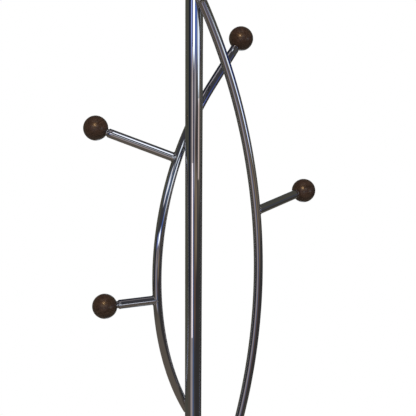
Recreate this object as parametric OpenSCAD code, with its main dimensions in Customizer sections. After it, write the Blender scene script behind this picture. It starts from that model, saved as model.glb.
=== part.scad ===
// Standing coat rack. A heavy round base carries a pole in two screwed lengths.
// Two bent tubes are welded to the pole, one in front of it and one behind it,
// and each tube's upper end runs on past the pole and carries a wooden ball.
// Four short arms are welded to the bent tubes and carry a ball each.
// The origin is on the pole's axis at floor level, with +Z up. Millimetres.

/* [Pole] */
// Outside diameter of the pole
pole_d = 35; // [30:0.5:42]
// Wall of the pole's tube
pole_wall = 1.5; // [1:0.25:2.5]
// Height of the seam between the pole's two lengths
seam_h = 350; // [200:5:400]
// Length of pole above the large bow's upper weld
pole_over = 222; // [60:2:300]
// Height of the dome on the pole's top cap
cap_dome = 6; // [3:0.5:12]
// Length of the plug that holds the top cap in the pole
cap_plug = 20; // [12:1:40]

/* [Bent tubes] */
// Outside diameter of the bent tubes and of the hook arms
tube_d = 19; // [16:0.5:24]
// Wall of the bent tubes and of the hook arms
tube_wall = 1.5; // [1:0.25:2.5]
// Height of the middle of both bows
bow_mid_h = 982; // [820:2:1180]
// Gap between a bent tube and the pole, which the weld bridges
weld_gap = 0.2; // [0.1:0.1:0.8]
// Width of the weld beads
bead = 2.5; // [1.5:0.25:4]
// Half of the length of a weld bead along the pole
bead_half = 14; // [8:1:20]
// Length of each bent tube below its lower weld
tail = 16; // [10:1:40]

/* [Large bow] */
// Half of the distance between the large bow's two welds
large_half = 572; // [440:2:690]
// How far the large bow stands out between its welds
large_reach = 133.5; // [100:0.5:170]
// Direction in which the large bow stands out, in degrees from +X
large_turn = 20; // [0:1:360]
// Angle that its bend runs on past the upper weld
large_bend_on = 5; // [2:0.5:10]
// Straight length at its upper end
large_straight = 72; // [40:1:140]

/* [Small bow] */
// Half of the distance between the small bow's two welds
small_half = 287; // [230:1:350]
// How far the small bow stands out between its welds
small_reach = 77; // [60:0.5:100]
// Direction in which the small bow stands out, in degrees from +X
small_turn = 225; // [0:1:360]
// Angle that its bend runs on past the upper weld
small_bend_on = 12.8; // [4:0.2:16]
// Straight length at its upper end
small_straight = 99; // [40:1:140]

/* [Left arm] */
// Height of its weld below the small bow's upper weld
left_drop = 38; // [20:1:100]
// Direction, in degrees from +X
left_turn = 172; // [140:1:220]
// Slope above level
left_slope = 19; // [0:0.5:30]
// Length from the bent tube's axis to the arm's end
left_len = 148; // [80:1:180]

/* [Low arm] */
// Height of its weld above the middle of the bows
low_rise = -36; // [-160:1:60]
// Direction, in degrees from +X
low_turn = 187; // [140:1:250]
// Slope above level
low_slope = -5.5; // [-10:0.5:30]
// Length from the bent tube's axis to the arm's end
low_len = 78; // [60:1:180]

/* [Right arm] */
// Height of its weld above the middle of the bows
right_rise = 139; // [-100:1:300]
// Direction, in degrees from +X
right_turn = 48; // [0:0.5:80]
// Slope above level
right_slope = 7; // [0:0.5:30]
// Length from the bent tube's axis to the arm's end
right_len = 135; // [80:1:180]

/* [Front arm] */
// Height of its weld below the large bow's upper weld
front_drop = 8; // [0:1:100]
// Direction, in degrees from +X
front_turn = 283; // [260:1:320]
// Slope above level
front_slope = 14; // [0:0.5:30]
// Length from the bent tube's axis to the arm's end
front_len = 140; // [80:1:180]

/* [Balls] */
// Diameter of the wooden balls
ball_d = 51; // [40:1:64]
// Diameter of the neck between a tube's end and its ball
neck_d = 15; // [12:0.5:15.5]
// Length of the neck, with the shoulder on the tube's end
neck_len = 5; // [4:0.5:12]
// Thickness of the shoulder that closes the tube's end
shoulder = 1.6; // [1:0.2:2.5]
// Length of the neck's plug inside the tube
neck_plug = 16; // [10:1:24]
// Diameter of the threaded stud that holds a ball
stud_d = 6; // [4:1:8]
// Length of the stud inside the ball
stud_in_ball = 14; // [10:1:18]
// Outside diameter of the brass insert in a ball
insert_d = 10; // [9:0.5:12]
// Length of the brass insert
insert_len = 16; // [12:1:22]

/* [Base] */
// Diameter of the base cover
base_d = 350; // [300:5:420]
// Height of the cover's rolled edge
edge_h = 20; // [17:0.5:30]
// Height of the cover where the collar sits on it
cover_h = 36; // [32:1:60]
// Thickness of the cover
cover_wall = 1.2; // [0.8:0.1:2]
// Thickness of the floor pad
pad_h = 3; // [2:0.5:6]
// Thickness of the iron weight's plate
weight_h = 13; // [8:1:14]
// Air between the weight's edge and the cover
weight_gap = 4; // [2:0.5:10]
// Diameter of the weight's middle boss
boss_d = 70; // [56:1:90]
// Diameter of the collar's foot
collar_d = 60; // [50:1:80]
// Height of the collar
collar_h = 18; // [12:1:30]
// Diameter of the bolt that clamps the base to the pole
bolt_d = 12; // [8:1:14]
// Length of the threaded plug in the foot of the pole
foot_plug = 45; // [30:1:60]
// Diameter of the stud that joins the two lengths of pole
seam_stud_d = 14; // [10:1:20]
// Length of the threaded plug on each side of the seam
seam_plug = 35; // [20:1:50]

/* [Hidden] */

// Clearances
slide_fit = 0.05; // radial, on plugs inside tubes
thread_fit = 0.05; // radial, on studs and bolts in threaded holes
loose_fit = 0.3; // radial, where a tube or bolt passes through a sheet or plate
over = 1; // how far a cutting solid runs past the face it cuts
round_fn = 96;
bend_fn = 720;

pole_r = pole_d / 2;
tube_r = tube_d / 2;
ball_r = ball_d / 2;
bow_offset = pole_r + tube_r + weld_gap;
pole_top = bow_mid_h + large_half + pole_over;
boss_top = cover_h - 2 * cover_wall;

// The two bows, as lists in the order large, small
LARGE = 0;
SMALL = 1;
half = [large_half, small_half];
reach = [large_reach, small_reach];
turn = [large_turn, small_turn];
bend_on = [large_bend_on, small_bend_on];
straight = [large_straight, small_straight];

// The four arms, in the order left, low, right, front
arm_bow = [SMALL, SMALL, LARGE, LARGE];
arm_rise = [small_half - left_drop, low_rise, right_rise, large_half - front_drop];
arm_turn = [left_turn, low_turn, right_turn, front_turn];
arm_slope = [left_slope, low_slope, right_slope, front_slope];
arm_len = [left_len, low_len, right_len, front_len];
ARMS = [0:3];
TIPS = [0:5]; // the four arms' ends, then the small and the large bow's upper ends

function bend_r(b) = (half[b] * half[b] + reach[b] * reach[b]) / (2 * reach[b]);
function weld_angle(b) = asin(half[b] / bend_r(b));
function top_angle(b) = weld_angle(b) + bend_on[b];
function tail_angle(b) = weld_angle(b) + tail / bend_r(b) * 180 / PI;

// A point of a bow's upright plane: x out from the pole, z up from the bows' middle
function bow_point(b, x, z) = [
    x * cos(turn[b]) + bow_offset * sin(turn[b]),
    x * sin(turn[b]) - bow_offset * cos(turn[b]),
    bow_mid_h + z];
function arc_x(b, a) = reach[b] - bend_r(b) + bend_r(b) * cos(a);
function arc_z(b, a) = bend_r(b) * sin(a);
function direction(az, up) = [cos(up) * cos(az), cos(up) * sin(az), sin(up)];

function arm_root(i) = let (b = arm_bow[i], a = asin(arm_rise[i] / bend_r(b)))
    bow_point(b, arc_x(b, a), arc_z(b, a));
function bow_tip(b) = let (a = top_angle(b), s = straight[b])
    bow_point(b, arc_x(b, a) - s * sin(a), arc_z(b, a) + s * cos(a));
function tip_bow(i) = i == 4 ? SMALL : LARGE;
function tip_turn(i) = i < 4 ? arm_turn[i] : turn[tip_bow(i)] + 180;
function tip_slope(i) = i < 4 ? arm_slope[i] : 90 - top_angle(tip_bow(i));
function tip_point(i) = i < 4
    ? arm_root(i) + arm_len[i] * direction(arm_turn[i], arm_slope[i])
    : bow_tip(tip_bow(i));

// Puts a child that points along +Z at a point, facing a direction and a slope
module facing(point, az, up) {
    translate(point)
        rotate([0, 90 - up, az])
            children();
}

module at_tip(i) {
    facing(tip_point(i), tip_turn(i), tip_slope(i))
        children();
}

module ring(outer_r, inner_r, h) {
    difference() {
        cylinder(r = outer_r, h = h, $fn = round_fn);
        translate([0, 0, -over])
            cylinder(r = inner_r, h = h + 2 * over, $fn = round_fn);
    }
}

// A cap of a ball, with base radius r and height h, standing on z = 0
module dome(r, h) {
    ball = (r * r + h * h) / (2 * h);
    intersection() {
        translate([0, 0, h - ball])
            sphere(r = ball, $fn = round_fn);
        cylinder(r = r, h = h + over, $fn = round_fn);
    }
}

// ---- Bent tubes ----

module in_bow_plane(b) {
    rotate([0, 0, turn[b]])
        translate([0, -bow_offset, bow_mid_h])
            children();
}

// The bend and the straight upper end of a bow, swept from its upper end down.
// An inner radius of 0 makes a solid rod.
module bow_sweep(b, outer_r, inner_r) {
    in_bow_plane(b)
        translate([reach[b] - bend_r(b), 0, 0])
            rotate([0, -top_angle(b), 0])
                rotate([-90, 0, 0]) {
                    rotate_extrude(angle = top_angle(b) + tail_angle(b), $fn = bend_fn)
                        translate([bend_r(b), 0])
                            difference() {
                                circle(r = outer_r, $fn = round_fn);
                                if (inner_r > 0) circle(r = inner_r, $fn = round_fn);
                            }
                    translate([bend_r(b), 0, 0])
                        rotate([90, 0, 0])
                            if (inner_r > 0) ring(outer_r, inner_r, straight[b]);
                            else cylinder(r = outer_r, h = straight[b], $fn = round_fn);
                }
}

module bow_rod(b, r) {
    bow_sweep(b, r, 0);
}

module bow_tube(b) {
    bow_sweep(b, tube_r, tube_r - tube_wall);
}

module large_bow() {
    color("silver")
        bow_tube(LARGE);
}

module small_bow() {
    color("silver")
        bow_tube(SMALL);
}

// A domed plug that closes a bow's lower end
module bow_plug(b) {
    a = -tail_angle(b);
    point = bow_point(b, arc_x(b, a), arc_z(b, a));
    facing(point, turn[b] + 180, -90 - a) {
        translate([0, 0, -neck_plug])
            cylinder(r = tube_r - tube_wall - slide_fit, h = neck_plug, $fn = round_fn);
        cylinder(r = tube_r, h = shoulder, $fn = round_fn);
        translate([0, 0, shoulder])
            dome(tube_r, shoulder * 1.5);
    }
}

module large_bow_plug() {
    color("silver")
        bow_plug(LARGE);
}

module small_bow_plug() {
    color("silver")
        bow_plug(SMALL);
}

// ---- Welds ----

// The bead fills the corner where two surfaces are less than one bead width away
module bow_weld(b, z) {
    difference() {
        intersection() {
            bow_rod(b, tube_r + bead);
            translate([0, 0, z - bead_half])
                cylinder(r = pole_r + bead, h = 2 * bead_half, $fn = round_fn);
        }
        bow_rod(b, tube_r);
        translate([0, 0, z - bead_half - over])
            cylinder(r = pole_r, h = 2 * bead_half + 2 * over, $fn = round_fn);
    }
}

module bow_welds() {
    color("gainsboro")
        for (b = [LARGE, SMALL])
            for (side = [-1, 1])
                bow_weld(b, bow_mid_h + side * half[b]);
}

module arm_rod(i, r, h) {
    facing(arm_root(i), arm_turn[i], arm_slope[i])
        cylinder(r = r, h = h, $fn = round_fn);
}

bead_spread = 0.8; // how far an arm bead spreads along the bent tube, as a share of its width
fuse = 0.02; // how deep the bead melts into the arm

module arm_weld(i) {
    difference() {
        intersection() {
            bow_rod(arm_bow[i], tube_r + bead * bead_spread);
            arm_rod(i, tube_r + bead, tube_d);
        }
        bow_rod(arm_bow[i], tube_r);
        arm_rod(i, tube_r - fuse, tube_d + over);
    }
}

module arm_welds() {
    color("gainsboro")
        for (i = ARMS)
            arm_weld(i);
}

// ---- Hook arms and balls ----

// A tube whose foot is cut to the round of the bent tube it is welded to
module hook_arm(i) {
    color("silver")
        difference() {
            facing(arm_root(i), arm_turn[i], arm_slope[i])
                ring(tube_r, tube_r - tube_wall, arm_len[i]);
            bow_rod(arm_bow[i], tube_r);
        }
}

// Turned neck: a plug in the tube, a shoulder on its end and a spigot for the ball
module neck(i) {
    color("silver")
        at_tip(i)
            difference() {
                union() {
                    translate([0, 0, -neck_plug])
                        cylinder(r = tube_r - tube_wall - slide_fit, h = neck_plug, $fn = round_fn);
                    cylinder(r = tube_r, h = shoulder / 2, $fn = round_fn);
                    translate([0, 0, shoulder / 2])
                        cylinder(r1 = tube_r, r2 = tube_r - shoulder / 2, h = shoulder / 2, $fn = round_fn);
                    cylinder(r = neck_d / 2, h = neck_len, $fn = round_fn);
                }
                translate([0, 0, -neck_plug - over])
                    cylinder(r = stud_d / 2 + thread_fit, h = neck_plug + neck_len + 2 * over, $fn = round_fn);
            }
}

seat_depth = sqrt(ball_r * ball_r - neck_d * neck_d / 4); // from the ball's middle to its flat seat

module wooden_ball(i) {
    color("saddlebrown")
        at_tip(i)
            difference() {
                translate([0, 0, neck_len + seat_depth])
                    sphere(r = ball_r, $fn = round_fn);
                translate([0, 0, -over])
                    cylinder(r = neck_d, h = neck_len + over, $fn = round_fn);
                translate([0, 0, neck_len - over])
                    cylinder(r = insert_d / 2, h = insert_len + 2 * over, $fn = round_fn);
            }
}

module ball_studs() {
    color("dimgray")
        for (i = TIPS)
            at_tip(i)
                translate([0, 0, -neck_plug + over])
                    cylinder(r = stud_d / 2, h = neck_plug - over + neck_len + stud_in_ball, $fn = round_fn);
}

module ball_inserts() {
    color("gold")
        for (i = TIPS)
            at_tip(i)
                translate([0, 0, neck_len])
                    ring(insert_d / 2, stud_d / 2 + thread_fit, insert_len);
}

// ---- Pole ----

module pole_tube(bottom, top) {
    translate([0, 0, bottom])
        ring(pole_r, pole_r - pole_wall, top - bottom);
}

module lower_pole() {
    color("silver")
        pole_tube(boss_top, seam_h);
}

module upper_pole() {
    color("silver")
        pole_tube(seam_h, pole_top);
}

module threaded_plug(bottom, h, hole_d) {
    translate([0, 0, bottom])
        ring(pole_r - pole_wall - slide_fit, hole_d / 2 + thread_fit, h);
}

module pole_foot_plug() {
    color("dimgray")
        threaded_plug(boss_top, foot_plug, bolt_d);
}

module seam_plug_lower() {
    color("dimgray")
        threaded_plug(seam_h - seam_plug, seam_plug, seam_stud_d);
}

module seam_plug_upper() {
    color("dimgray")
        threaded_plug(seam_h, seam_plug, seam_stud_d);
}

module seam_stud() {
    color("gray")
        translate([0, 0, seam_h - seam_plug + over])
            cylinder(r = seam_stud_d / 2, h = 2 * (seam_plug - over), $fn = round_fn);
}

module top_cap() {
    color("silver")
        translate([0, 0, pole_top]) {
            translate([0, 0, -cap_plug])
                cylinder(r = pole_r - pole_wall - slide_fit, h = cap_plug, $fn = round_fn);
            cylinder(r = pole_r, h = shoulder, $fn = round_fn);
            translate([0, 0, shoulder])
                dome(pole_r, cap_dome);
        }
}

// ---- Base ----

edge_round = 9; // radius of the cover's rolled edge
cover_foot = 1; // the cover's rim stays this far above the floor
hub_r = collar_d / 2; // the cover is level inside this radius
rise_steps = 24;
function ease(t) = 1 - t * t * (3 - 2 * t);

// Section of the cover's skin, from its rim up over the edge and in to the hub
function skin(in) = let (
    r = base_d / 2 - in,
    top = edge_h - in,
    c = edge_round - in,
    flat_r = base_d / 2 - edge_round)
    concat(
        [[r, cover_foot]],
        [for (a = [0:10:80]) [r - c + c * cos(a), top - c + c * sin(a)]],
        [for (k = [0:rise_steps]) let (t = 1 - k / rise_steps)
            [hub_r + (flat_r - hub_r) * t, top + (cover_h - edge_h) * ease(t)]]);

hub_hole_r = pole_r + loose_fit;
function reversed(list) = [for (k = [len(list) - 1:-1:0]) list[k]];

module base_cover() {
    outside = concat(skin(0), [[hub_hole_r, cover_h]]);
    inside = concat(skin(cover_wall), [[hub_hole_r, cover_h - cover_wall]]);
    color("silver")
        rotate_extrude($fn = round_fn)
            polygon(concat(outside, reversed(inside)));
}

weight_r = base_d / 2 - cover_wall - weight_gap;
recess_r = bolt_d * 1.5; // room for the washer and a socket round the bolt's head
washer_h = 2.5;
head_h = bolt_d * 0.6;
recess_h = washer_h + head_h + 1;

module base_weight() {
    color("dimgray")
        difference() {
            union() {
                translate([0, 0, pad_h])
                    cylinder(r = weight_r, h = weight_h, $fn = round_fn);
                translate([0, 0, pad_h])
                    cylinder(r = boss_d / 2 - loose_fit, h = boss_top - pad_h, $fn = round_fn);
            }
            translate([0, 0, pad_h - over])
                cylinder(r = recess_r, h = recess_h + over, $fn = round_fn);
            cylinder(r = bolt_d / 2 + loose_fit, h = boss_top + over, $fn = round_fn);
        }
}

module floor_pad() {
    color("black")
        cylinder(r = weight_r - weight_gap, h = pad_h, $fn = round_fn);
}

module base_washer() {
    color("gray")
        translate([0, 0, pad_h + recess_h - washer_h])
            ring(recess_r - loose_fit, bolt_d / 2 + loose_fit, washer_h);
}

module base_bolt() {
    head_top = pad_h + recess_h - washer_h;
    color("gray") {
        translate([0, 0, head_top - head_h])
            cylinder(r = bolt_d * 0.92, h = head_h, $fn = 6);
        translate([0, 0, head_top])
            cylinder(r = bolt_d / 2, h = boss_top - head_top + foot_plug - 2 * over, $fn = round_fn);
    }
}

collar_lip = 3; // wall of the collar at its top
collar_steps = 12;
screw_z = cover_h + collar_h * 0.3;
screw_d = 5;

module base_collar() {
    inner = pole_r + loose_fit;
    top_r = inner + collar_lip;
    color("silver")
        difference() {
            translate([0, 0, cover_h])
                rotate_extrude($fn = round_fn)
                    polygon(concat(
                        [[inner, 0]],
                        [for (k = [0:collar_steps]) let (t = k / collar_steps)
                            [top_r + (hub_r - top_r) * pow(1 - t, 2), collar_h * t]],
                        [[inner, collar_h]]));
            translate([0, 0, screw_z])
                rotate([-90, 0, 0])
                    cylinder(r = screw_d / 2 + thread_fit, h = collar_d, $fn = round_fn);
        }
}

module collar_screw() {
    color("dimgray")
        translate([0, pole_r, screw_z])
            rotate([-90, 0, 0])
                cylinder(r = screw_d / 2, h = collar_lip + loose_fit, $fn = round_fn);
}

floor_pad();
base_weight();
base_cover();
base_collar();
collar_screw();
base_washer();
base_bolt();
pole_foot_plug();
lower_pole();
seam_plug_lower();
seam_stud();
seam_plug_upper();
upper_pole();
top_cap();
large_bow();
small_bow();
large_bow_plug();
small_bow_plug();
bow_welds();
arm_welds();
for (i = ARMS)
    hook_arm(i);
for (i = TIPS)
    neck(i);
for (i = TIPS)
    wooden_ball(i);
ball_studs();
ball_inserts();
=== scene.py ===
import math

import bmesh
import bpy
from mathutils import Matrix, Vector


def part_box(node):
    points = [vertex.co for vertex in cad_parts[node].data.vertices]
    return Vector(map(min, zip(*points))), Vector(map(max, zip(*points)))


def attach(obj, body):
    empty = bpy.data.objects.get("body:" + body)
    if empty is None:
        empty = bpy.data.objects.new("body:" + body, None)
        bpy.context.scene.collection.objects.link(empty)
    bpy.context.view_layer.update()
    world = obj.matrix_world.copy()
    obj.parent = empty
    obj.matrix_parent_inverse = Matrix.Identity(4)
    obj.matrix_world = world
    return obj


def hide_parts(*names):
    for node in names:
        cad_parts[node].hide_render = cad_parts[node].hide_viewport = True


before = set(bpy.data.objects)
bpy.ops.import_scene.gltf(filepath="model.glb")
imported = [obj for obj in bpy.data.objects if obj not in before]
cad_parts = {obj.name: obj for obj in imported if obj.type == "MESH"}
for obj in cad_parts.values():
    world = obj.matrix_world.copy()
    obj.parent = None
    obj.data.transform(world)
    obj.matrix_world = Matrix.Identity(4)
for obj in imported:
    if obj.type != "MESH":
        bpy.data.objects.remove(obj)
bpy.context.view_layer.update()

# Standing coat rack: chromed steel tube, turned wooden balls, spun steel base.
# Metres throughout. The origin is on the pole's axis at floor level, with +Z up.

MM = 0.001
TURN = 2 * math.pi

# ---- Sizes that the parts share ----

POLE_R = 17.5 * MM
TUBE_R = 9.5 * MM
TUBE_WALL = 1.5 * MM  # of the pole too
PLUG_GAP = 0.05 * MM
BOW_MIDDLE = 982 * MM
BOW_OFFSET = 27.2 * MM
TAIL = 16 * MM
SHOULDER = 1.6 * MM
PLUG_R = TUBE_R - TUBE_WALL - PLUG_GAP
PLUG_LEN = 16 * MM
NECK_R = 7.5 * MM
NECK_LEN = 5 * MM
BALL_R = 25.5 * MM
SEAT_DEPTH = math.sqrt(BALL_R ** 2 - NECK_R ** 2)
TUBE_SIDES = 72
POLE_SIDES = 128
TUBE_EASE = 0.8 * MM  # rounding of a cut end
POLE_EASE = 0.5 * MM


def direction(azimuth, up):
    """A unit vector, from degrees round from +X and degrees above level."""
    a = math.radians(azimuth)
    e = math.radians(up)
    return Vector((math.cos(e) * math.cos(a), math.cos(e) * math.sin(a), math.sin(e)))


def facing(point, azimuth, up):
    """The matrix that puts a part turned on +Z at a point, facing a direction."""
    swing = Matrix.Rotation(math.radians(azimuth), 4, "Z")
    tilt = Matrix.Rotation(math.radians(90 - up), 4, "Y")
    return Matrix.Translation(point) @ swing @ tilt


class Bow:
    """A tube bent to an arc in an upright plane beside the pole, with a straight upper end."""

    def __init__(self, half, reach, turn, bend_on, straight):
        self.turn = turn
        self.half = half
        self.reach = reach
        self.straight = straight
        self.bend = (half * half + reach * reach) / (2 * reach)
        weld = math.asin(half / self.bend)
        self.top = weld + math.radians(bend_on)
        self.foot = -weld - TAIL / self.bend

    def place(self, x, z):
        a = math.radians(self.turn)
        return Vector((
            x * math.cos(a) + BOW_OFFSET * math.sin(a),
            x * math.sin(a) - BOW_OFFSET * math.cos(a),
            BOW_MIDDLE + z))

    def at(self, angle):
        x = self.reach - self.bend + self.bend * math.cos(angle)
        return self.place(x, self.bend * math.sin(angle))

    def at_height(self, rise):
        return self.at(math.asin(rise / self.bend))

    def run(self, rise):
        """The tube's own direction at a height above the bows' middle."""
        a = math.asin(rise / self.bend)
        return (self.at(a + 0.001) - self.at(a - 0.001)).normalized()

    def tip(self):
        x = self.reach - self.bend + self.bend * math.cos(self.top)
        z = self.bend * math.sin(self.top)
        s = self.straight
        return self.place(x - s * math.sin(self.top), z + s * math.cos(self.top))

    def path(self, steps=140):
        step = (self.top - self.foot) / steps
        arc = [self.at(self.foot + step * k) for k in range(steps + 1)]
        end = self.tip()
        rest = [arc[-1].lerp(end, k / 6) for k in range(1, 7)]
        return arc + rest


large_bow = Bow(572 * MM, 133.5 * MM, 20, 5, 72 * MM)
small_bow = Bow(287 * MM, 77 * MM, 225, 12.8, 99 * MM)


class Arm:
    """A short tube that stands out from a bow at a height above the bows' middle."""

    def __init__(self, bow, rise, azimuth, up, length):
        self.bow = bow
        self.rise = rise
        self.azimuth = azimuth
        self.up = up
        self.run = direction(azimuth, up)
        self.root = bow.at_height(rise)
        self.tip = self.root + self.run * length


arms = [
    Arm(small_bow, 249 * MM, 172, 19, 148 * MM),
    Arm(small_bow, -36 * MM, 187, -5.5, 78 * MM),
    Arm(large_bow, 139 * MM, 48, 7, 135 * MM),
    Arm(large_bow, 564 * MM, 283, 14, 140 * MM),
]

tips = [facing(arm.tip, arm.azimuth, arm.up) for arm in arms]
for bow in (small_bow, large_bow):
    tips.append(facing(bow.tip(), bow.turn + 180, 90 - math.degrees(bow.top)))


# ---- Colours and nodes ----

def linear(hex_colour):
    """An sRGB hex colour as linear RGBA."""
    parts = [int(hex_colour[i:i + 2], 16) / 255 for i in (0, 2, 4)]
    curve = [c / 12.92 if c <= 0.04045 else ((c + 0.055) / 1.055) ** 2.4 for c in parts]
    return (*curve, 1.0)


def add(tree, kind, settings=None, inputs=None):
    """Adds a node. An input's value is a number or colour, or the socket that feeds it."""
    node = tree.nodes.new(kind)
    for name, value in (settings or {}).items():
        setattr(node, name, value)
    for key, value in (inputs or {}).items():
        if isinstance(value, bpy.types.NodeSocket):
            tree.links.new(value, node.inputs[key])
        else:
            node.inputs[key].default_value = value
    return node


def new_material(name):
    """A material with its Principled BSDF, and the tree to add to."""
    material = bpy.data.materials.new(name)
    material.use_nodes = True
    return material, material.node_tree, material.node_tree.nodes["Principled BSDF"]


# ---- Materials ----

def chrome_drawn_tube():
    """Bright chrome on cold-drawn steel tube: a mirror with faint lines along its length,
    from the drawing die, and finger smudges that dull it a little in patches."""
    material, tree, shader = new_material("Chrome_on_drawn_steel_tube")
    section = add(tree, "ShaderNodeAttribute", {"attribute_name": "section"})
    along = add(tree, "ShaderNodeAttribute", {"attribute_name": "along"})
    # die lines about 0.4 mm apart and 80 mm long
    length = add(tree, "ShaderNodeCombineXYZ", None, {"Z": along.outputs["Fac"]})
    lines_at = add(tree, "ShaderNodeVectorMath", {"operation": "MULTIPLY"}, {
        0: section.outputs["Vector"], 1: (2500, 2500, 0)})
    length_at = add(tree, "ShaderNodeVectorMath", {"operation": "SCALE"}, {
        0: length.outputs["Vector"], "Scale": 12})
    both = add(tree, "ShaderNodeVectorMath", {"operation": "ADD"}, {
        0: lines_at.outputs["Vector"], 1: length_at.outputs["Vector"]})
    lines = add(tree, "ShaderNodeTexNoise", None, {
        "Vector": both.outputs["Vector"], "Scale": 1, "Detail": 2})
    # smudges 15 to 40 mm across
    place = add(tree, "ShaderNodeTexCoord")
    smudge = add(tree, "ShaderNodeTexNoise", None, {
        "Vector": place.outputs["Object"], "Scale": 38, "Detail": 5, "Roughness": 0.6})
    dull = add(tree, "ShaderNodeMapRange", {"interpolation_type": "SMOOTHSTEP"}, {
        "Value": smudge.outputs["Fac"], "From Min": 0.45, "From Max": 0.75,
        "To Min": 0.008, "To Max": 0.045})
    # a slow waviness of the buffed plate, about 12 mm from crest to crest
    wave = add(tree, "ShaderNodeTexNoise", None, {
        "Vector": place.outputs["Object"], "Scale": 80, "Detail": 1})
    bump_wave = add(tree, "ShaderNodeBump", None, {
        "Height": wave.outputs["Fac"], "Strength": 0.025, "Distance": 0.0002})
    bump = add(tree, "ShaderNodeBump", None, {
        "Height": lines.outputs["Fac"], "Strength": 0.04, "Distance": 0.00001,
        "Normal": bump_wave.outputs["Normal"]})
    tone = add(tree, "ShaderNodeMix", {"data_type": "RGBA"}, {
        0: smudge.outputs["Fac"], 6: linear("cfd1d5"), 7: linear("c2c3c6")})
    tree.links.new(tone.outputs[2], shader.inputs["Base Color"])
    tree.links.new(dull.outputs["Result"], shader.inputs["Roughness"])
    tree.links.new(bump.outputs["Normal"], shader.inputs["Normal"])
    shader.inputs["Metallic"].default_value = 1
    return material


def chrome_rings(name, pitch, depth, roughness):
    """Bright chrome over lathe work: fine rings round the piece's own axis, from the tool.
    The rings follow the 'rings' attribute, which is the distance along the turned outline."""
    material, tree, shader = new_material(name)
    ring = add(tree, "ShaderNodeAttribute", {"attribute_name": "rings"})
    step = add(tree, "ShaderNodeMath", {"operation": "MULTIPLY"}, {
        0: ring.outputs["Fac"], 1: 1 / pitch})
    rings = add(tree, "ShaderNodeTexNoise", {"noise_dimensions": "1D"}, {
        "W": step.outputs["Value"], "Scale": 1, "Detail": 3})
    place = add(tree, "ShaderNodeTexCoord")
    smudge = add(tree, "ShaderNodeTexNoise", None, {
        "Vector": place.outputs["Object"], "Scale": 30, "Detail": 5, "Roughness": 0.6})
    bump = add(tree, "ShaderNodeBump", None, {
        "Height": rings.outputs["Fac"], "Strength": 0.25, "Distance": depth})
    dull = add(tree, "ShaderNodeMapRange", None, {
        "Value": smudge.outputs["Fac"], "To Min": roughness, "To Max": roughness * 2.2})
    tone = add(tree, "ShaderNodeMix", {"data_type": "RGBA"}, {
        0: smudge.outputs["Fac"], 6: linear("cfd1d5"), 7: linear("bfc0c3")})
    tree.links.new(tone.outputs[2], shader.inputs["Base Color"])
    tree.links.new(dull.outputs["Result"], shader.inputs["Roughness"])
    tree.links.new(bump.outputs["Normal"], shader.inputs["Normal"])
    shader.inputs["Metallic"].default_value = 1
    return material


def chrome_weld():
    """Chrome over a hand-laid weld bead: ripples and small pits that scatter the light."""
    material, tree, shader = new_material("Chrome_on_weld_bead")
    place = add(tree, "ShaderNodeTexCoord")
    # solidified ripples about 1 mm apart, with pits of 0.3 mm
    ripple = add(tree, "ShaderNodeTexNoise", None, {
        "Vector": place.outputs["Object"], "Scale": 900, "Detail": 3})
    pits = add(tree, "ShaderNodeTexVoronoi", None, {
        "Vector": place.outputs["Object"], "Scale": 2600})
    bump_pits = add(tree, "ShaderNodeBump", None, {
        "Height": pits.outputs["Distance"], "Strength": 0.3, "Distance": 0.0001})
    bump = add(tree, "ShaderNodeBump", None, {
        "Height": ripple.outputs["Fac"], "Strength": 0.5, "Distance": 0.0003,
        "Normal": bump_pits.outputs["Normal"]})
    dull = add(tree, "ShaderNodeMapRange", None, {
        "Value": ripple.outputs["Fac"], "To Min": 0.16, "To Max": 0.4})
    tone = add(tree, "ShaderNodeMix", {"data_type": "RGBA"}, {
        0: ripple.outputs["Fac"], 6: linear("e6e3df"), 7: linear("bdbab6")})
    tree.links.new(tone.outputs[2], shader.inputs["Base Color"])
    tree.links.new(dull.outputs["Result"], shader.inputs["Roughness"])
    tree.links.new(bump.outputs["Normal"], shader.inputs["Normal"])
    shader.inputs["Metallic"].default_value = 1
    return material


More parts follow.
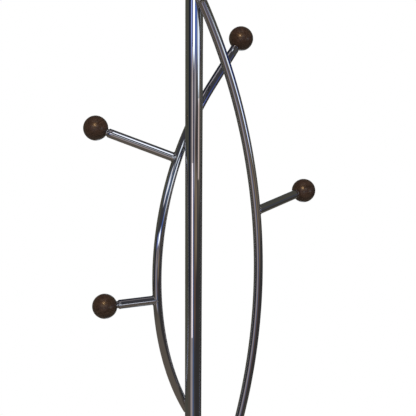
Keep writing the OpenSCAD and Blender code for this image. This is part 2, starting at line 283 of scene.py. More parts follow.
def stained_beech():
    """Turned beech, stained dark walnut and lacquered: long close grain with short dark
    flecks, and a soft sheen from satin lacquer."""
    material, tree, shader = new_material("Walnut_stained_turned_beech")
    place = add(tree, "ShaderNodeAttribute", {"attribute_name": "grain"})
    # growth rings about 2.5 mm apart, seen as long bands on the side of the ball
    bands = add(tree, "ShaderNodeTexNoise", None, {
        "Vector": add(tree, "ShaderNodeVectorMath", {"operation": "MULTIPLY"}, {
            0: place.outputs["Vector"], 1: (330, 330, 26)}).outputs["Vector"],
        "Scale": 1, "Detail": 4, "Roughness": 0.62, "Distortion": 0.6})
    # ray flecks 0.4 mm wide and 3 mm long
    flecks = add(tree, "ShaderNodeTexNoise", None, {
        "Vector": add(tree, "ShaderNodeVectorMath", {"operation": "MULTIPLY"}, {
            0: place.outputs["Vector"], 1: (2100, 2100, 260)}).outputs["Vector"],
        "Scale": 1, "Detail": 2})
    ramp = add(tree, "ShaderNodeValToRGB", None, {"Fac": bands.outputs["Fac"]})
    ramp.color_ramp.elements[0].position = 0.3
    ramp.color_ramp.elements[0].color = linear("211814")
    ramp.color_ramp.elements[1].position = 0.72
    ramp.color_ramp.elements[1].color = linear("47352b")
    fleck_mask = add(tree, "ShaderNodeMapRange", {"interpolation_type": "SMOOTHSTEP"}, {
        "Value": flecks.outputs["Fac"], "From Min": 0.56, "From Max": 0.7,
        "To Min": 0.0, "To Max": 0.55})
    tone = add(tree, "ShaderNodeMix", {"data_type": "RGBA"}, {
        0: fleck_mask.outputs["Result"], 6: ramp.outputs["Color"], 7: linear("160f0d")})
    sheen = add(tree, "ShaderNodeMapRange", None, {
        "Value": bands.outputs["Fac"], "To Min": 0.3, "To Max": 0.42})
    bump = add(tree, "ShaderNodeBump", None, {
        "Height": flecks.outputs["Fac"], "Strength": 0.2, "Distance": 0.00006})
    tree.links.new(tone.outputs[2], shader.inputs["Base Color"])
    tree.links.new(sheen.outputs["Result"], shader.inputs["Roughness"])
    tree.links.new(bump.outputs["Normal"], shader.inputs["Normal"])
    shader.inputs["IOR"].default_value = 1.5
    shader.inputs["Coat Weight"].default_value = 0.5
    shader.inputs["Coat Roughness"].default_value = 0.22
    shader.inputs["Specular Tint"].default_value = linear("f2dcc0")
    return material


def rough_material(name, dark, pale, metallic, smooth, rough, size, depth):
    """A grained surface: two tones, a roughness and a bump that all follow one pattern,
    whose grains are the given size across in metres."""
    material, tree, shader = new_material(name)
    place = add(tree, "ShaderNodeTexCoord")
    grains = add(tree, "ShaderNodeTexNoise", None, {
        "Vector": place.outputs["Object"], "Scale": 1 / size, "Detail": 4, "Roughness": 0.6})
    patches = add(tree, "ShaderNodeTexNoise", None, {
        "Vector": place.outputs["Object"], "Scale": 0.05 / size, "Detail": 3})
    mixed = add(tree, "ShaderNodeMath", {"operation": "MULTIPLY"}, {
        0: grains.outputs["Fac"], 1: patches.outputs["Fac"]})
    shade = add(tree, "ShaderNodeMapRange", None, {
        "Value": mixed.outputs["Value"], "To Max": 2.6})
    sheen = add(tree, "ShaderNodeMapRange", None, {
        "Value": grains.outputs["Fac"], "To Min": smooth, "To Max": rough})
    tone = add(tree, "ShaderNodeMix", {"data_type": "RGBA", "clamp_factor": True}, {
        0: shade.outputs["Result"], 6: linear(dark), 7: linear(pale)})
    bump = add(tree, "ShaderNodeBump", None, {
        "Height": grains.outputs["Fac"], "Strength": 0.5, "Distance": depth})
    tree.links.new(tone.outputs[2], shader.inputs["Base Color"])
    tree.links.new(sheen.outputs["Result"], shader.inputs["Roughness"])
    tree.links.new(bump.outputs["Normal"], shader.inputs["Normal"])
    shader.inputs["Metallic"].default_value = metallic
    return material


tube_chrome = chrome_drawn_tube()
# spun sheet: rings from the roller about 0.6 mm apart
spun_chrome = chrome_rings("Chrome_on_spun_steel_sheet", 0.6 * MM, 0.00003, 0.05)
# turned bar: rings from the tool, drawn 0.25 mm apart
turned_chrome = chrome_rings("Chrome_on_turned_steel", 0.25 * MM, 0.00002, 0.06)
weld_chrome = chrome_weld()
beech = stained_beech()
# sand-cast plate: the mould's sand leaves grains of about 0.8 mm under thin black paint
iron = rough_material(
    "Black_painted_cast_iron", "17181a", "2f3032", 0.0, 0.45, 0.7, 0.8 * MM, 0.0004)
# moulded sheet: a fine leathery grain of about 0.5 mm that never shines
rubber = rough_material(
    "Moulded_black_rubber", "141414", "262626", 0.0, 0.7, 0.92, 0.5 * MM, 0.0002)
# bright zinc: crystal patches of about 1 mm, pale and slightly blue
zinc = rough_material(
    "Zinc_plated_steel", "9a9fa6", "c9ced4", 1.0, 0.22, 0.42, 1.0 * MM, 0.00003)
# machined bar left as cut: grey with fine tool marks of about 0.3 mm
steel = rough_material(
    "Machined_plain_steel", "6f7073", "a2a3a6", 1.0, 0.28, 0.48, 0.3 * MM, 0.00003)
# knurled insert: yellow brass, slightly tarnished in patches
brass = rough_material(
    "Machined_brass", "8a6a34", "c8a45a", 1.0, 0.25, 0.45, 0.3 * MM, 0.00003)


# ---- Geometry Nodes: tubes and weld beads ----

def new_tree(name, sizes):
    """A geometry tree with a Path input, named sizes, a Material input and one output."""
    tree = bpy.data.node_groups.new(name, "GeometryNodeTree")
    face = tree.interface
    face.new_socket("Path", in_out="INPUT", socket_type="NodeSocketGeometry")
    for size, kind in sizes:
        face.new_socket(size, in_out="INPUT", socket_type=kind)
    face.new_socket("Finish", in_out="INPUT", socket_type="NodeSocketMaterial")
    face.new_socket("Piece", in_out="OUTPUT", socket_type="NodeSocketGeometry")
    return tree, add(tree, "NodeGroupInput").outputs


def close_tree(tree, mesh, inputs):
    """Ends a tree in smooth shading, Realize Instances and Set Material."""
    smooth = add(tree, "GeometryNodeSetShadeSmooth", None, {"Geometry": mesh})
    real = add(tree, "GeometryNodeRealizeInstances", None, {
        "Geometry": smooth.outputs["Geometry"]})
    finish = add(tree, "GeometryNodeSetMaterial", None, {
        "Geometry": real.outputs["Geometry"], "Material": inputs["Finish"]})
    add(tree, "NodeGroupOutput", None, {"Piece": finish.outputs["Geometry"]})
    return tree


def tube_tree():
    """A round tube along a path. 'taper' on the path's points rounds its ends, and
    'section' and 'along' tell the finish where it is round and along the tube."""
    tree, inputs = new_tree("Drawn tube", [
        ("Outside radius", "NodeSocketFloat"), ("Sides", "NodeSocketInt")])
    path = add(tree, "GeometryNodeMeshToCurve", None, {"Mesh": inputs["Path"]})
    length = add(tree, "GeometryNodeSplineParameter")
    marked = add(tree, "GeometryNodeStoreNamedAttribute", {"data_type": "FLOAT"}, {
        "Geometry": path.outputs["Curve"], "Name": "along", "Value": length.outputs["Length"]})
    circle = add(tree, "GeometryNodeCurvePrimitiveCircle", None, {
        "Resolution": inputs["Sides"], "Radius": inputs["Outside radius"]})
    place = add(tree, "GeometryNodeInputPosition")
    ring = add(tree, "GeometryNodeStoreNamedAttribute", {"data_type": "FLOAT_VECTOR"}, {
        "Geometry": circle.outputs["Curve"], "Name": "section",
        "Value": place.outputs["Position"]})
    taper = add(tree, "GeometryNodeInputNamedAttribute", {"data_type": "FLOAT"}, {
        "Name": "taper"})
    tube = add(tree, "GeometryNodeCurveToMesh", None, {
        "Curve": marked.outputs["Geometry"], "Profile Curve": ring.outputs["Geometry"],
        "Scale": taper.outputs["Attribute"], "Fill Caps": True})
    return close_tree(tree, tube.outputs["Mesh"], inputs)


def bead_tree():
    """A weld bead round a closed path: its width ripples once for each drop of weld."""
    tree, inputs = new_tree("Weld bead", [
        ("Bead radius", "NodeSocketFloat"), ("Ripple spacing", "NodeSocketFloat"),
        ("Ripple depth", "NodeSocketFloat"), ("Wander", "NodeSocketFloat"),
        ("Seed", "NodeSocketFloat")])
    path = add(tree, "GeometryNodeMeshToCurve", None, {"Mesh": inputs["Path"]})
    even = add(tree, "GeometryNodeResampleCurve", {"mode": "LENGTH"}, {
        "Curve": path.outputs["Curve"], "Length": 0.5 * MM})
    noise = add(tree, "ShaderNodeTexNoise", {"noise_dimensions": "4D"}, {
        "W": inputs["Seed"], "Scale": 260, "Detail": 1})
    centred = add(tree, "ShaderNodeVectorMath", {"operation": "SUBTRACT"}, {
        0: noise.outputs["Color"], 1: (0.5, 0.5, 0.5)})
    shift = add(tree, "ShaderNodeVectorMath", {"operation": "SCALE"}, {
        0: centred.outputs["Vector"], "Scale": inputs["Wander"]})
    moved = add(tree, "GeometryNodeSetPosition", None, {
        "Geometry": even.outputs["Curve"], "Offset": shift.outputs["Vector"]})
    length = add(tree, "GeometryNodeSplineParameter")
    drops = add(tree, "ShaderNodeMath", {"operation": "DIVIDE"}, {
        0: length.outputs["Length"], 1: inputs["Ripple spacing"]})
    phase = add(tree, "ShaderNodeMath", {"operation": "MULTIPLY"}, {
        0: drops.outputs["Value"], 1: math.pi})
    wave = add(tree, "ShaderNodeMath", {"operation": "SINE"}, {0: phase.outputs["Value"]})
    crest = add(tree, "ShaderNodeMath", {"operation": "ABSOLUTE"}, {0: wave.outputs["Value"]})
    swell = add(tree, "ShaderNodeMath", {"operation": "MULTIPLY_ADD"}, {
        0: crest.outputs["Value"], 1: inputs["Ripple depth"], 2: 1.0})
    circle = add(tree, "GeometryNodeCurvePrimitiveCircle", None, {
        "Resolution": 12, "Radius": inputs["Bead radius"]})
    bead = add(tree, "GeometryNodeCurveToMesh", None, {
        "Curve": moved.outputs["Geometry"], "Profile Curve": circle.outputs["Curve"],
        "Scale": swell.outputs["Value"]})
    return close_tree(tree, bead.outputs["Mesh"], inputs)


# ---- Making meshes ----

def link(name, mesh):
    """A new object in the scene with this mesh."""
    piece = bpy.data.objects.new(name, mesh)
    bpy.context.scene.collection.objects.link(piece)
    return piece


def crisp(mesh, angle=35):
    """Faces outwards, smooth shading, and a sharp edge wherever the faces turn further."""
    work = bmesh.new()
    work.from_mesh(mesh)
    bmesh.ops.recalc_face_normals(work, faces=work.faces)
    for face in work.faces:
        face.smooth = True
    for edge in work.edges:
        if len(edge.link_faces) == 2:
            edge.smooth = edge.calc_face_angle(0) < math.radians(angle)
    work.to_mesh(mesh)
    work.free()


def grown(name, tree, paths, closed, taper=None, **sizes):
    """Runs a tree on one or more paths and keeps the result as a plain mesh."""
    points = []
    edges = []
    for path in paths:
        first = len(points)
        points += path
        edges += [(first + k, first + k + 1) for k in range(len(path) - 1)]
        if closed:
            edges.append((len(points) - 1, first))
    mesh = bpy.data.meshes.new(name + "_path")
    mesh.from_pydata(points, edges, [])
    if taper:
        mesh.attributes.new("taper", "FLOAT", "POINT").data.foreach_set("value", taper)
    piece = link(name, mesh)
    modifier = piece.modifiers.new("Grow", "NODES")
    modifier.node_group = tree
    for socket in tree.interface.items_tree:
        wanted = socket.name.replace(" ", "_").lower()
        if wanted in sizes:
            modifier[socket.identifier] = sizes[wanted]
    bpy.context.view_layer.update()
    evaluated = piece.evaluated_get(bpy.context.evaluated_depsgraph_get())
    solid = bpy.data.meshes.new_from_object(evaluated)
    piece.modifiers.clear()
    piece.data = solid
    solid.name = name
    crisp(solid)
    return piece


def arc(centre, radius, start, end, steps):
    """Corners of an outline along an arc, from one angle to another in degrees."""
    corners = []
    for k in range(steps + 1):
        a = math.radians(start + (end - start) * k / steps)
        corners.append((centre[0] + radius * math.cos(a), centre[1] + radius * math.sin(a)))
    return corners


def dome(radius, height, base, steps=16):
    """Outline of a low dome, from its edge to the axis."""
    sphere = (radius * radius + height * height) / (2 * height)
    edge = math.degrees(math.acos(radius / sphere))
    points = arc((0, base + height - sphere), sphere, edge, 90, steps)
    return points[:-1] + [(0, base + height)]


def turned(name, outline, finish, matrix=None, sides=96):
    """Turns an outline of (radius, height) corners round +Z into a closed solid.
    The distance along the outline is kept in the 'rings' attribute."""
    work = bmesh.new()
    rings = work.verts.layers.float.new("rings")
    rows = []
    walked = 0.0
    before = outline[0]
    for radius, height in outline:
        walked += math.hypot(radius - before[0], height - before[1])
        before = (radius, height)
        if radius < 1e-7:
            row = [work.verts.new((0, 0, height))]
        else:
            row = []
            for k in range(sides):
                a = TURN * k / sides
                row.append(work.verts.new((radius * math.cos(a), radius * math.sin(a), height)))
        for vert in row:
            vert[rings] = walked
        rows.append(row)
    for low, high in zip(rows, rows[1:] + rows[:1]):
        for k in range(sides):
            n = (k + 1) % sides
            if len(low) == 1 and len(high) == 1:
                continue
            if len(low) == 1:
                work.faces.new((low[0], high[n], high[k]))
            elif len(high) == 1:
                work.faces.new((low[k], low[n], high[0]))
            else:
                work.faces.new((low[k], low[n], high[n], high[k]))
    mesh = bpy.data.meshes.new(name)
    work.to_mesh(mesh)
    work.free()
    if matrix is not None:
        mesh.transform(matrix)
    crisp(mesh)
    mesh.materials.append(finish)
    return link(name, mesh)


SIZE_SLACK = 2.5 * MM


def fit(piece, slot, *nodes):
    """Puts a piece in the place of its CAD nodes, and says so if it isn't the same size."""
    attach(piece, "root")
    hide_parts(*nodes)
    boxes = [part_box(node) for node in nodes]
    for axis in range(3):
        low = min(box[0][axis] for box in boxes)
        high = max(box[1][axis] for box in boxes)
        values = [v.co[axis] for v in piece.data.vertices]
        off = max(abs(min(values) - low), abs(max(values) - high))
        if off > SIZE_SLACK:
            print("check size of", piece.name, "axis", axis, round(off / MM, 2), "mm off")


# ---- Pole ----

drawn_tube = tube_tree()
weld_bead = bead_tree()


def straight_run(bottom, top, steps=40):
    """Evenly spaced points on a straight line."""
    return [bottom.lerp(top, k / steps) for k in range(steps + 1)]


def soft_ends(path, radius, ease):
    """Adds points close to both ends of a path, and the taper that rounds the ends."""
    head = (path[1] - path[0]).normalized()
    end = (path[-1] - path[-2]).normalized()
    points = [path[0], path[0] + head * ease * 0.3, path[0] + head * ease]
    points += path[1:-1]
    points += [path[-1] - end * ease, path[-1] - end * ease * 0.3, path[-1]]
    small = 1 - ease / radius
    half = 1 - 0.3 * ease / radius
    taper = [small, half, 1.0] + [1.0] * (len(path) - 2) + [1.0, half, small]
    return points, taper


def tube(name, path, radius, sides, ease):
    """A chromed tube along a path, with both ends rounded a little."""
    points, taper = soft_ends(path, radius, ease)
    return grown(
        name, drawn_tube, [points], False, taper=taper,
        outside_radius=radius, sides=sides, finish=tube_chrome)


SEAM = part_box("lower_pole")[1].z
POLE_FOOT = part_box("lower_pole")[0].z
POLE_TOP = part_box("upper_pole")[1].z

# the ends that meet at the seam are broken by half a millimetre, which draws its fine line
lower = straight_run(Vector((0, 0, POLE_FOOT)), Vector((0, 0, SEAM)))
lower_length = tube("Pole_lower_length", lower, POLE_R, POLE_SIDES, POLE_EASE)
fit(lower_length, "chrome", "lower_pole")
upper = straight_run(Vector((0, 0, SEAM)), Vector((0, 0, POLE_TOP)))
upper_length = tube("Pole_upper_length", upper, POLE_R, POLE_SIDES, POLE_EASE)
fit(upper_length, "chrome", "upper_pole")
pole_only = bpy.data.collections.new("Pole")
pole_only.objects.link(lower_length)
pole_only.objects.link(upper_length)

cap_rim = POLE_TOP + SHOULDER
cap_plug_r = POLE_R - TUBE_WALL - PLUG_GAP
cap_foot = POLE_TOP - 20 * MM
cap_ease = 0.4 * MM
cap_outline = [(0, cap_foot), (cap_plug_r, cap_foot), (cap_plug_r, POLE_TOP)]
cap_outline += [(POLE_R - cap_ease, POLE_TOP), (POLE_R, POLE_TOP + cap_ease)]
cap_outline += dome(POLE_R, 6 * MM, cap_rim, 24)
cap = turned("Pole_top_cap", cap_outline, turned_chrome, sides=POLE_SIDES)
fit(cap, "chrome", "top_cap")


# ---- Bows and arms ----

large_tube = tube("Large_bow_tube", large_bow.path(), TUBE_R, TUBE_SIDES, TUBE_EASE)
fit(large_tube, "chrome", "large_bow")
small_tube = tube("Small_bow_tube", small_bow.path(), TUBE_R, TUBE_SIDES, TUBE_EASE)
fit(small_tube, "chrome", "small_bow")

arm_only = bpy.data.collections.new("Left_arm")
for number, arm in enumerate(arms, 1):
    # the foot starts a little outside the bow's axis, inside its wall
    foot = arm.root + arm.run * 1.0 * MM
    run = straight_run(foot, arm.tip, 16)
    piece = tube(f"Hook_arm_tube_{number}", run, TUBE_R, TUBE_SIDES, TUBE_EASE)
    if number == 1:
        arm_only.objects.link(piece)
    fit(piece, "chrome", f"hook_arm_{number}")

for name, bow, node in (
        ("Large_bow_foot_plug", large_bow, "large_bow_plug"),
        ("Small_bow_foot_plug", small_bow, "small_bow_plug")):
    outline = [(0, -PLUG_LEN), (PLUG_R, -PLUG_LEN), (PLUG_R, 0)]
    outline += [(TUBE_R - 0.3 * MM, 0), (TUBE_R, 0.3 * MM)]
    outline += dome(TUBE_R, SHOULDER * 1.5, SHOULDER, 12)
    place = facing(bow.at(bow.foot), bow.turn + 180, -90 - math.degrees(bow.foot))
    fit(turned(name, outline, turned_chrome, place, TUBE_SIDES), "chrome", node)


# ---- Weld beads ----

def saddle(arm, steps=120):
    """The line where an arm's tube meets the round of its bow."""
    bow_run = arm.bow.run(arm.rise)
    side = arm.run.cross(bow_run).normalized()
    lift = side.cross(arm.run).normalized()
    cosine = arm.run.dot(bow_run)
    points = []
    for k in range(steps):
        a = TURN * k / steps
        offset = side * (TUBE_R * math.cos(a)) + lift * (TUBE_R * math.sin(a))
        # distance from the bow's axis, squared, as a quadratic in the distance along the arm
        flat = offset - bow_run * offset.dot(bow_run)
        across = arm.run - bow_run * cosine
        qa = across.dot(across)
        qb = 2 * flat.dot(across)
        qc = flat.dot(flat) - TUBE_R ** 2
        reach = (-qb + math.sqrt(max(qb * qb - 4 * qa * qc, 0))) / (2 * qa)
        points.append(arm.root + offset + arm.run * reach)
    return points


def groove(bow, level, bead_half=14 * MM, steps=24):
    """The loop round the line where a bow touches the pole, up one side and down the other."""
    stand_off = 0.9 * MM
    sides = ([], [])
    for k in range(steps + 1):
        z = level - bead_half + 2 * bead_half * k / steps
        axis = bow.at_height(z - BOW_MIDDLE)
        away = Vector((axis.x, axis.y, 0))
        reach = away.length
        out = away.normalized()
        across = Vector((-out.y, out.x, 0))
        pole = POLE_R + stand_off
        tube_side = TUBE_R * 1.05 + stand_off
        x = (pole ** 2 - tube_side ** 2 + reach ** 2) / (2 * reach)
        y = math.sqrt(max(pole ** 2 - x * x, (1.2 * MM) ** 2))
        for side, sign in zip(sides, (1, -1)):
            side.append(out * x + across * (y * sign) + Vector((0, 0, z)))
    return sides[0] + sides[1][::-1]


arm_beads = grown(
    "Arm_weld_beads", weld_bead, [saddle(arm) for arm in arms], True,
    bead_radius=1.0 * MM, ripple_spacing=1.3 * MM, ripple_depth=0.35, wander=0.7 * MM,
    seed=3.0, finish=weld_chrome)
fit(arm_beads, "chrome_weld", "arm_welds")

grooves = []
for bow in (large_bow, small_bow):
    for side in (-1, 1):
        grooves.append(groove(bow, BOW_MIDDLE + side * bow.half))
bow_beads = grown(
    "Bow_weld_beads", weld_bead, grooves, True,
    bead_radius=1.6 * MM, ripple_spacing=1.8 * MM, ripple_depth=0.3, wander=0.6 * MM,
    seed=8.0, finish=weld_chrome)
fit(bow_beads, "chrome_weld", "bow_welds")


# ---- Necks and balls ----

def neck_outline():
    """Plug, shoulder with a broken edge, and the spigot that the ball seats on."""
    bore = 3.05 * MM
    half = SHOULDER / 2
    return [
        (bore, -PLUG_LEN), (PLUG_R, -PLUG_LEN), (PLUG_R, 0), (TUBE_R - 0.25 * MM, 0),
        (TUBE_R, 0.25 * MM), (TUBE_R, half), (TUBE_R - half * 0.4, half * 1.6),
        (TUBE_R - half, SHOULDER), (NECK_R + 0.5 * MM, SHOULDER), (NECK_R, SHOULDER + 0.5 * MM),
        (NECK_R, NECK_LEN), (bore, NECK_LEN)]


def ball_outline():
    """Blind hole for the insert, flat seat, and the round of the ball to its far end."""
    hole = 5 * MM
    deep = NECK_LEN + 17 * MM
    middle = NECK_LEN + SEAT_DEPTH
    seat = math.degrees(math.asin(-SEAT_DEPTH / BALL_R))
    round_part = arc((0, middle), BALL_R, seat + 1.0, 90, 72)
    outline = [(0, deep), (hole, deep), (hole, NECK_LEN), (NECK_R - 0.3 * MM, NECK_LEN)]
    return outline + round_part[:-1] + [(0, middle + BALL_R)]


def mark_grain(piece, matrix, number):
    """Keeps each ball's own place in its wood, so that no two balls show the same grain."""
    home = matrix.inverted()
    turn = Matrix.Rotation(number * 1.9, 4, "Z") @ Matrix.Rotation(0.5 + number * 0.7, 4, "X")
    grain = piece.data.attributes.new("grain", "FLOAT_VECTOR", "POINT")
    for vert, value in zip(piece.data.vertices, grain.data):
        value.vector = turn @ (home @ vert.co) + Vector((0.07 * number, 0.11 * number, 0))


wood_only = bpy.data.collections.new("Wooden_balls")
for number, matrix in enumerate(tips, 1):
    neck = turned(f"Turned_neck_{number}", neck_outline(), turned_chrome, matrix, TUBE_SIDES)
    fit(neck, "chrome_neck", f"neck_{number}")
    ball = turned(f"Wooden_ball_{number}", ball_outline(), beech, matrix, 96)
    mark_grain(ball, matrix, number)
    fit(ball, "dark_wood", f"ball_{number}")
    wood_only.objects.link(ball)


# ---- Base ----

BASE_R = 175 * MM
EDGE_H = 20 * MM
COVER_H = 36 * MM
HUB_R = 30 * MM
EDGE_ROUND = 9 * MM
COVER_WALL = 1.2 * MM
HOLE_R = POLE_R + 0.3 * MM
COLLAR_H = 18 * MM
COLLAR_EASE = 0.5 * MM
SCREW_R = 2.5 * MM
SCREW_LEN = 3.3 * MM
SOCKET_R = 1.45 * MM
SOCKET_DEPTH = 1.8 * MM


def skin(depth):
    """One face of the spun cover, from its rim over the rolled edge and in to the hub."""
    r = BASE_R - depth
    top = EDGE_H - depth
    c = EDGE_ROUND - depth
    flat_r = BASE_R - EDGE_ROUND
    outline = [(r, 1 * MM)] + arc((r - c, top - c), c, 0, 84, 14)
    steps = 60
    for k in range(steps + 1):
        t = 1 - k / steps
        rise = (COVER_H - EDGE_H) * (1 - t * t * (3 - 2 * t))
        outline.append((HUB_R + (flat_r - HUB_R) * t, top + rise))
    return outline


cover_outline = skin(0) + [(HOLE_R, COVER_H)]
cover_outline += [(HOLE_R, COVER_H - COVER_WALL)] + skin(COVER_WALL)[::-1]
cover = turned("Spun_base_cover", cover_outline, spun_chrome, sides=192)
fit(cover, "chrome", "base_cover")

collar_top = HOLE_R + 3 * MM
collar_outline = [(HOLE_R, COVER_H)]
for k in range(33):
    t = k / 32
    radius = collar_top + (HUB_R - collar_top) * (1 - t) ** 2
    collar_outline.append((radius, COVER_H + COLLAR_H * t))
last_r, last_z = collar_outline.pop()
collar_outline += [(last_r, last_z - COLLAR_EASE), (last_r - COLLAR_EASE, last_z), (HOLE_R, last_z)]
collar = turned("Turned_base_collar", collar_outline, turned_chrome, sides=POLE_SIDES)

# the set screw's hole is cut through the collar's back
screw_place = facing(Vector((0, 0, COVER_H + COLLAR_H * 0.3)), 90, 0)
drill_r = SCREW_R + PLUG_GAP
drill_near = 15 * MM
drill_far = 40 * MM
drill_outline = [(0, drill_near), (drill_r, drill_near), (drill_r, drill_far), (0, drill_far)]
drill = turned("Drill", drill_outline, turned_chrome, screw_place, 32)
cut = collar.modifiers.new("Cut", "BOOLEAN")
cut.operation = "DIFFERENCE"
cut.solver = "EXACT"
cut.object = drill
bpy.context.view_layer.update()
drilled = bpy.data.meshes.new_from_object(
    collar.evaluated_get(bpy.context.evaluated_depsgraph_get()))
collar.modifiers.clear()
collar.data = drilled
bpy.data.objects.remove(drill)
crisp(collar.data)
fit(collar, "chrome", "base_collar")


def socket_screw():
    """A short set screw with a hexagon socket and a broken edge."""
    work = bmesh.new()
    sides = 36
    ease = 0.3 * MM
    front = POLE_R + SCREW_LEN
    rows = []
    for radius, height in (
            (SCREW_R, POLE_R), (SCREW_R, front - ease), (SCREW_R - ease, front)):
        ring = []
        for k in range(sides):
            a = TURN * k / sides
            ring.append((radius * math.cos(a), radius * math.sin(a), height))
        rows.append(ring)
    for height in (front, front - SOCKET_DEPTH):
        ring = []
        for k in range(sides):
            a = TURN * k / sides
            # six flats, from the distance to a hexagon's side in this direction
            flat = SOCKET_R * math.cos(math.pi / 6) / math.cos((a % (TURN / 6)) - math.pi / 6)
            ring.append((flat * math.cos(a), flat * math.sin(a), height))
        rows.append(ring)
    made = [[work.verts.new(point) for point in row] for row in rows]
    for low, high in zip(made, made[1:]):
        for k in range(sides):
            n = (k + 1) % sides
            work.faces.new((low[k], low[n], high[n], high[k]))
    work.faces.new(made[0][::-1])
    work.faces.new(made[-1])
    mesh = bpy.data.meshes.new("Collar_set_screw")
    work.to_mesh(mesh)
    work.free()
    mesh.transform(screw_place)
    crisp(mesh)
    mesh.materials.append(zinc)
    return link("Collar_set_screw", mesh)


fit(socket_screw(), "zinc_steel", "collar_screw")


# ---- Inner parts keep their CAD shapes ----

def finish_node(node, material):
    """Gives a CAD node its material, and leaves its shape alone."""
    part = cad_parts[node]
    part.data.materials.clear()
    part.data.materials.append(material)


finish_node("floor_pad", rubber)
finish_node("base_weight", iron)
finish_node("base_washer", zinc)
finish_node("base_bolt", zinc)
finish_node("pole_foot_plug", steel)
finish_node("seam_plug_lower", steel)
finish_node("seam_plug_upper", steel)
finish_node("seam_stud", zinc)
finish_node("ball_studs", zinc)
finish_node("ball_inserts", brass)


# ---- Floor ----

def pale_floor():
    """A low round of pale painted board: matt, with a faint roller texture of about 2 mm."""
    finish = rough_material(
        "Pale_matt_floor_paint", "e9e8e5", "f3f2f0", 0.0, 0.75, 0.9, 2 * MM, 0.0001)
    edge = 1.28
    thick = 12 * MM
    ease = 4 * MM
    outline = [(0, -thick), (edge - ease, -thick), (edge, ease - thick), (edge, -ease)]
    outline += [(edge - ease, 0), (0, 0)]
    floor = turned("Floor", outline, finish, sides=192)
    floor.visible_glossy = False
    return floor


floor_only = bpy.data.collections.new("Floor_only")
floor_only.objects.link(pale_floor())


# ---- Light ----
# Chrome shows only what stands round it, so the studio is set out as panels in a dim room:
# each is a block of light or dark seen in reflections. Degrees round from the camera's side
# (plus is +X) and degrees above level. Anything seen directly is plain white.

world = bpy.data.worlds.new("Studio")
bpy.context.scene.world = world
world.use_nodes = True
room = world.node_tree
room.nodes.clear()

toward = add(room, "ShaderNodeTexCoord")
xyz = add(room, "ShaderNodeSeparateXYZ", None, {"Vector": toward.outputs["Generated"]})
back_y = add(room, "ShaderNodeMath", {"operation": "MULTIPLY"}, {0: xyz.outputs["Y"], 1: -1.0})
round_angle = add(room, "ShaderNodeMath", {"operation": "ARCTAN2"}, {
    0: xyz.outputs["X"], 1: back_y.outputs["Value"]})
up_angle = add(room, "ShaderNodeMath", {"operation": "ARCSINE"}, {0: xyz.outputs["Z"]})


def band(angle, low, high, soft):
    """1 between two angles in degrees, falling softly to 0 outside them."""
    middle = math.radians((low + high) / 2)
    half = math.radians((high - low) / 2)
    away = add(room, "ShaderNodeMath", {"operation": "SUBTRACT"}, {0: angle, 1: middle})
    size = add(room, "ShaderNodeMath", {"operation": "ABSOLUTE"}, {0: away.outputs["Value"]})
    edge = math.radians(soft) / 2
    return add(room, "ShaderNodeMapRange", {"interpolation_type": "SMOOTHSTEP"}, {
        "Value": size.outputs["Value"], "From Min": half - edge, "From Max": half + edge,
        "To Min": 1.0, "To Max": 0.0}).outputs["Result"]


MIRROR = 0.6  # chrome gives back about this share of the light
DAYLIGHT = "eaf2fa"
LAVENDER = "8c98d2"
SKY_BLUE = "4c66ac"
DEEP_BLUE = "143a96"
NAVY = "16233f"
SLATE = "4e6080"
LAMP_WHITE = "e4e2e6"
ROSE_PLASTER = "9a8f8d"
PALE_PLASTER = "918a8c"
TAN_WOOD = "90806a"
BROWN_WOOD = "56443c"
OLIVE = "46453c"
WARM_GREY = "554e46"
DARK_GREY = "302e2e"
BLACK_BLUE = "10182a"


def panel(below, sides, heights, colour, bright=1.0, soft=3.0, cover=1.0):
    """Lays one panel over what is there already, and gives the room with it in place.
    The colour is the one that the chrome shows."""
    sideways = band(round_angle.outputs["Value"], *sides, soft)
    upward = band(up_angle.outputs["Value"], *heights, soft)
    mask = add(room, "ShaderNodeMath", {"operation": "MULTIPLY"}, {0: sideways, 1: upward})
    part = add(room, "ShaderNodeMath", {"operation": "MULTIPLY"}, {0: mask.outputs["Value"], 1: cover})
    light = [c * bright / MIRROR for c in linear(colour)[:3]] + [1.0]
    mixed = add(room, "ShaderNodeMix", {"data_type": "RGBA"}, {
        0: part.outputs["Value"], 6: below, 7: light})
    return mixed.outputs[2]


def walls(view):
    """Dim walls round the back and sides, lighter low on the left, and black-blue high up there."""
    view = panel(view, (-190, 190), (-90, -26), WARM_GREY, soft=10)
    view = panel(view, (-170, -60), (-26, 34), OLIVE, soft=10)
    view = panel(view, (70, 180), (-36, 50), OLIVE, soft=12, cover=0.8)
    view = panel(view, (-170, -100), (34, 60), BLACK_BLUE, soft=8)
    view = panel(view, (-200, 200), (80, 100), PALE_PLASTER, bright=0.6, soft=8)
    # a soft box straight behind the rack, which draws a line down the tubes' backs
    view = panel(view, (171, 182), (-50, 8), DAYLIGHT, bright=0.9, soft=3)
    view = panel(view, (-182, -174), (-50, 8), DAYLIGHT, bright=0.9, soft=3)
    view = panel(view, (-72, -46), (-20, 4), BLACK_BLUE, soft=6, cover=0.8)
    view = panel(view, (80, 140), (-30, -8), DARK_GREY, soft=8)
    return panel(view, (28, 80), (-30, -14), DARK_GREY, soft=6)


def ceiling(view):
    """A lit opening overhead and a pale ceiling to its left."""
    view = panel(view, (-75, -14), (60, 74), PALE_PLASTER, bright=1.3, soft=6)
    return panel(view, (12, 44), (66, 76), DAYLIGHT, bright=1.0, soft=3)


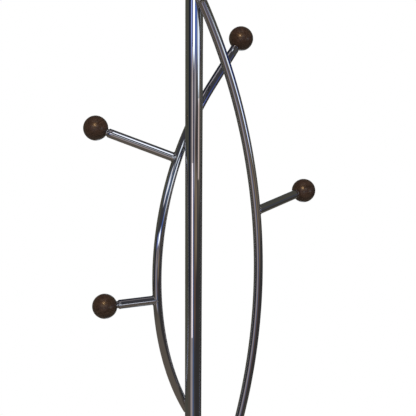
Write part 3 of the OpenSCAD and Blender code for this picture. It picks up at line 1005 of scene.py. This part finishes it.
def left_side(view):
    """A doorway with a bright lit edge, standing from the floor up to head height."""
    view = panel(view, (-76, -36), (-31, -19), WARM_GREY, bright=0.75, soft=5)
    view = panel(view, (-38, -18), (-25, -3), ROSE_PLASTER, bright=0.6, soft=4)
    view = panel(view, (-33, -19), (-26, -20), ROSE_PLASTER, bright=0.9, soft=4)
    view = panel(view, (-25, -5), (-27, -9), ROSE_PLASTER, bright=0.85, soft=3)
    view = panel(view, (-22, -10), (-9, -3), ROSE_PLASTER, bright=0.9, soft=3)
    view = panel(view, (-50, -29), (16, 30), SLATE, soft=6)
    view = panel(view, (-31, -13), (14, 29), LAMP_WHITE, bright=1.05, soft=3)
    return panel(view, (-40, -24), (-2.5, 3), LAVENDER, bright=1.1, soft=3)


def middle(view):
    """Straight in front: a narrow blue-grey gap, and a lit panel at eye level."""
    view = panel(view, (-9, 6), (-26, -9), SLATE, bright=0.9, soft=3)
    view = panel(view, (-11, 3), (-9.5, -2.5), NAVY, soft=2)
    view = panel(view, (6, 30), (-20, -6.5), BROWN_WOOD, soft=3)
    view = panel(view, (3, 17), (-11, -2.5), PALE_PLASTER, bright=0.9, soft=3)
    view = panel(view, (16, 28), (-6.5, -2.5), PALE_PLASTER, soft=3)
    view = panel(view, (18, 47), (-15.5, -9.5), TAN_WOOD, bright=0.6, soft=3)
    view = panel(view, (-14, 3), (16, 22), DAYLIGHT, bright=0.9, soft=3)
    return panel(view, (-13, 9), (-2.7, 1.6), DAYLIGHT, bright=1.6, soft=2)


def right_side(view):
    """The window: a tall daylight panel with blue round it."""
    view = panel(view, (28, 54), (-9, -3), DARK_GREY, bright=1.2, soft=4)
    view = panel(view, (9, 40), (-2.7, 1.6), SKY_BLUE, bright=0.85, soft=3)
    view = panel(view, (8, 34), (6, 17), SLATE, bright=0.9, soft=5)
    view = panel(view, (10, 30), (20, 32), DAYLIGHT, bright=1.0, soft=4)
    view = panel(view, (38, 54), (-3, 1), DAYLIGHT, bright=0.5, soft=3)
    view = panel(view, (66, 84), (-3, 6), DEEP_BLUE, bright=1.2, soft=4)
    view = panel(view, (86, 126), (7, 12), DEEP_BLUE, bright=0.3, soft=3)
    view = panel(view, (70, 90), (-11, -3), WARM_GREY, bright=1.6, soft=4)
    view = panel(view, (56, 76), (-12, -6), WARM_GREY, bright=0.95, soft=3)
    return panel(view, (54, 72), (-5, 7), DAYLIGHT, bright=1.1, soft=2)


def studio_room():
    """The dim room, then its panels over it."""
    dim = add(room, "ShaderNodeRGB")
    dim.outputs[0].default_value = [c / MIRROR for c in linear("37363a")[:3]] + [1.0]
    return right_side(middle(left_side(ceiling(walls(dim.outputs[0])))))


seen = add(room, "ShaderNodeLightPath")
reflected = add(room, "ShaderNodeBackground", None, {"Color": studio_room(), "Strength": 1.0})
soft_light = add(room, "ShaderNodeBackground", None, {"Color": linear("eef0f4"), "Strength": 0.45})
plain = add(room, "ShaderNodeBackground", None, {"Color": (1.0, 1.0, 1.0, 1.0), "Strength": 1.0})
lit = add(room, "ShaderNodeMixShader", None, {
    0: seen.outputs["Is Glossy Ray"], 1: soft_light.outputs["Background"],
    2: reflected.outputs["Background"]})
whole = add(room, "ShaderNodeMixShader", None, {
    0: seen.outputs["Is Camera Ray"], 1: lit.outputs["Shader"], 2: plain.outputs["Background"]})
add(room, "ShaderNodeOutputWorld", None, {"Surface": whole.outputs["Shader"]})


def hang(name, lamp, place, aim, only):
    """Hangs a lamp that turns to a point and isn't seen itself. It may light some pieces only."""
    holder = bpy.data.objects.new(name, lamp)
    holder.location = place
    holder.rotation_mode = "QUATERNION"
    holder.rotation_quaternion = (aim - place).to_track_quat("-Z", "Y")
    holder.visible_camera = False
    bpy.context.scene.collection.objects.link(holder)
    if only:
        holder.light_linking.receiver_collection = only
    return holder


def soft_box(name, azimuth, up, distance, size, power, colour, only=None):
    """A soft round lamp. One that lights everything isn't mirrored in the chrome."""
    lamp = bpy.data.lights.new(name, "AREA")
    lamp.shape = "DISK"
    lamp.size = size
    lamp.energy = power
    lamp.color = linear(colour)[:3]
    aim = Vector((0, 0, 1.0))
    holder = hang(name, lamp, aim + direction(azimuth, up) * distance, aim, only)
    if not only:
        holder.visible_glossy = False


def strip_lamp(name, azimuth, distance, low, high, width, radiance, colour, only):
    """An upright strip of light, mirrored in some pieces only."""
    lamp = bpy.data.lights.new(name, "AREA")
    lamp.shape = "RECTANGLE"
    lamp.size = width
    lamp.size_y = high - low
    lamp.energy = radiance * math.pi * lamp.size * lamp.size_y
    lamp.color = linear(colour)[:3]
    aim = Vector((0, 0, (low + high) / 2))
    holder = hang(name, lamp, aim + direction(azimuth, 0) * distance, aim, only)
    holder.visible_diffuse = False


soft_box("Key_lamp", -100, 52, 3.0, 1.4, 40, "fff2e2")
soft_box("Fill_lamp", -20, 30, 3.4, 1.8, 12, "eaf1ff")
soft_box("Ball_lamp", -100, 42, 2.4, 0.5, 16, "ffd9a6", only=wood_only)
soft_box("Left_arm_lamp", -88, 62, 2.0, 0.6, 1.6, "f2f5ff", only=arm_only)
soft_box("Floor_lamp", 60, 75, 2.6, 2.2, 38, "ffffff", only=floor_only)
# two to the left of the camera and one to its right, 2 m from the pole
strip_lamp("Pole_strip_low", -106.5, 2.0, 0.13, 0.9, 0.48, 1.25, "fff4f8", pole_only)
strip_lamp("Pole_strip_high", -106.5, 2.0, 0.9, 1.38, 0.36, 0.35, "fff0ec", pole_only)
strip_lamp("Pole_strip_right", -25, 2.0, 0.83, 1.17, 0.55, 0.75, "ffe6e0", pole_only)


# ---- Camera ----

scene = bpy.context.scene
scene.view_settings.view_transform = "Standard"
lens = bpy.data.cameras.new("Camera")
lens.lens = 79.59
lens.sensor_width = 36
camera = bpy.data.objects.new("Camera", lens)
pitch = Matrix.Rotation(math.radians(90 - 12.08), 4, "X")
roll = Matrix.Rotation(math.radians(0.35), 4, "Z")
camera.matrix_world = Matrix.Translation((0.02908, -1.82843, 1.52184)) @ pitch @ roll
scene.collection.objects.link(camera)
scene.camera = camera
